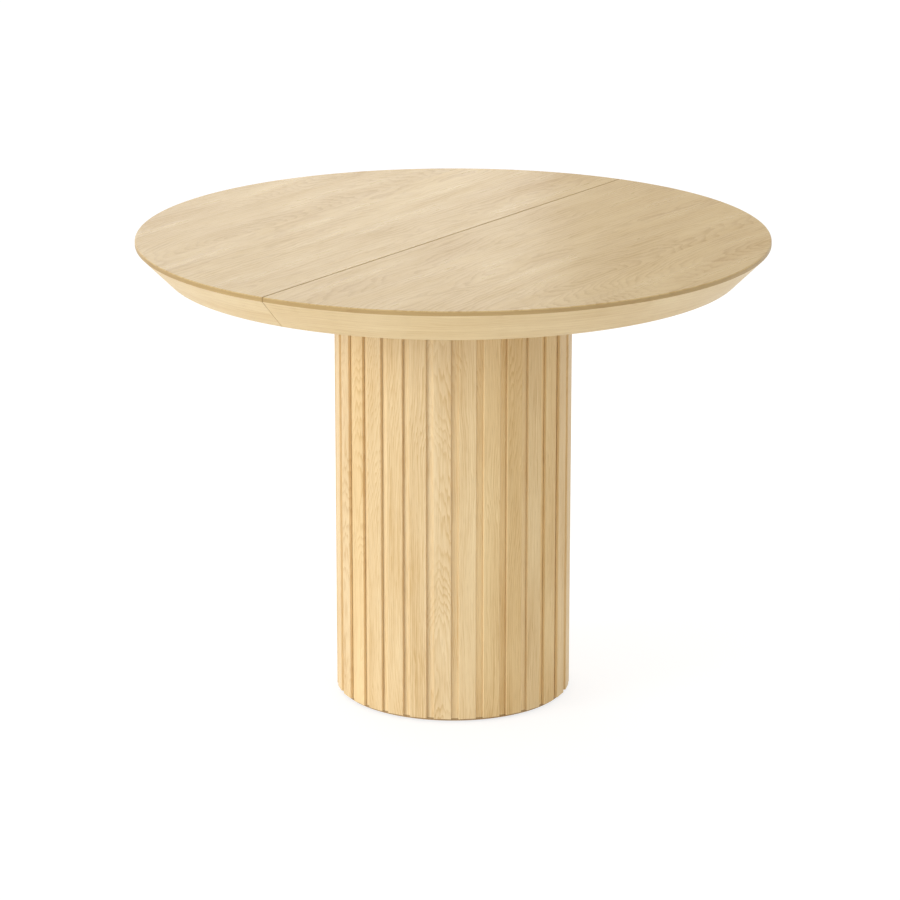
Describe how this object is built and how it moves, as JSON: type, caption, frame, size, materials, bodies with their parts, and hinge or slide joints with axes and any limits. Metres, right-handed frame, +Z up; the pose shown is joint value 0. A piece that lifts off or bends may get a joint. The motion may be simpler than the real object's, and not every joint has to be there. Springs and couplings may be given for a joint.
{
  "type": "extending table",
  "caption": "Round extending dining table with a bevelled edge on a slatted drum pedestal; the halves part on geared slides and two stored leaf boards fill the gap.",
  "frame": {"origin": "centre of the pedestal on the floor", "axes": "+Z up; +X the way the right half slides out; +Y along the seam, to the back"},
  "size_m": [0.9998, 1, 0.75],
  "materials": {
    "oak_top": "satin lacquer",
    "oak_edge": "satin lacquer",
    "oak_slat": "satin lacquer",
    "oak_core": "satin lacquer",
    "birch_ply": "sanded",
    "beech": "sanded",
    "steel_zinc": "zinc plated",
    "steel_plate": "powder coat",
    "aluminium_rail": "anodised",
    "nylon_white": "moulded",
    "nylon_black": "moulded",
    "brass_insert": "plain"
  },
  "bodies": {
    "pedestal": {"floor_feet": "nylon_black", "bottom_plate": "birch_ply", "ballast_plate": "steel_plate", "column_core": "oak_core", "column_slats": "oak_slat", "column_cap": "birch_ply", "tie_rods": "steel_zinc", "tie_rod_nuts": "steel_zinc", "cap_inserts": "brass_insert", "leaf_rack_left": "beech", "leaf_rack_right": "beech", "slide_carrier": "birch_ply", "carrier_bolts": "steel_zinc", "slide_rail_front": "aluminium_rail", "slide_rail_back": "aluminium_rail", "rail_screws": "steel_zinc", "pinion_axle": "steel_zinc", "pinion_spacer": "nylon_white", "pinion_clip": "steel_zinc", "rack_guide_front": "nylon_black", "rack_guide_back": "nylon_black", "guide_screws": "steel_zinc"},
    "pinion": {"sync_pinion": "nylon_white"},
    "left_top": {"left_top_panel": "oak_top", "left_apron": "oak_edge", "left_glue_blocks": "beech", "left_slide_bar_front": "aluminium_rail", "left_slide_bar_back": "aluminium_rail", "left_slide_pads": "nylon_white", "left_bar_screws": "steel_zinc", "left_rack": "nylon_black", "left_rack_bracket": "beech", "left_rack_screws": "steel_zinc", "seam_dowels": "beech", "latch_plate_front": "steel_zinc", "latch_plate_back": "steel_zinc", "latch_pivots": "steel_zinc", "latch_screws": "steel_zinc"},
    "right_top": {"right_top_panel": "oak_top", "right_apron": "oak_edge", "right_glue_blocks": "beech", "right_slide_bar_front": "aluminium_rail", "right_slide_bar_back": "aluminium_rail", "right_slide_pads": "nylon_white", "right_bar_screws": "steel_zinc", "right_rack": "nylon_black", "right_rack_bracket": "beech", "right_rack_screws": "steel_zinc", "latch_keeper_front": "steel_zinc", "latch_keeper_back": "steel_zinc", "keeper_screws": "steel_zinc"},
    "front_latch": {"latch_lever_front": "steel_plate"},
    "back_latch": {"latch_lever_back": "steel_plate"},
    "front_leaf": {"leaf_board_front": "oak_top", "leaf_dowels_front": "beech"},
    "back_leaf": {"leaf_board_back": "oak_top", "leaf_dowels_back": "beech"}
  },
  "joints": [
    {"name": "left_slide", "type": "slide", "parent": "pedestal", "child": "left_top", "axis": [-1, 0, 0], "range_m": [0, 0.155]},
    {"name": "right_slide", "type": "slide", "parent": "pedestal", "child": "right_top", "axis": [1, 0, 0], "range_m": [0, 0.155]},
    {"name": "pinion_turn", "type": "hinge", "parent": "pedestal", "child": "pinion", "pos_m": [0, 0, 0.713], "axis": [0, 0, 1], "range_deg": [0, 300]},
    {"name": "front_latch_turn", "type": "hinge", "parent": "left_top", "child": "front_latch", "pos_m": [-0.03, -0.405, 0.7285], "axis": [0, 0, -1], "range_deg": [0, 90]},
    {"name": "back_latch_turn", "type": "hinge", "parent": "left_top", "child": "back_latch", "pos_m": [-0.03, 0.405, 0.7285], "axis": [0, 0, 1], "range_deg": [0, 90]},
    {"name": "front_leaf_pull", "type": "slide", "parent": "pedestal", "child": "front_leaf", "axis": [0, -1, 0], "range_m": [0, 0.4]},
    {"name": "back_leaf_pull", "type": "slide", "parent": "pedestal", "child": "back_leaf", "axis": [0, 1, 0], "range_m": [0, 0.4]}
  ],
  "couplings": [
    {"joint": "right_slide", "follows": "left_slide", "ratio": 1},
    {"joint": "pinion_turn", "follows": "left_slide", "rad_per_m": 33.333}
  ]
}
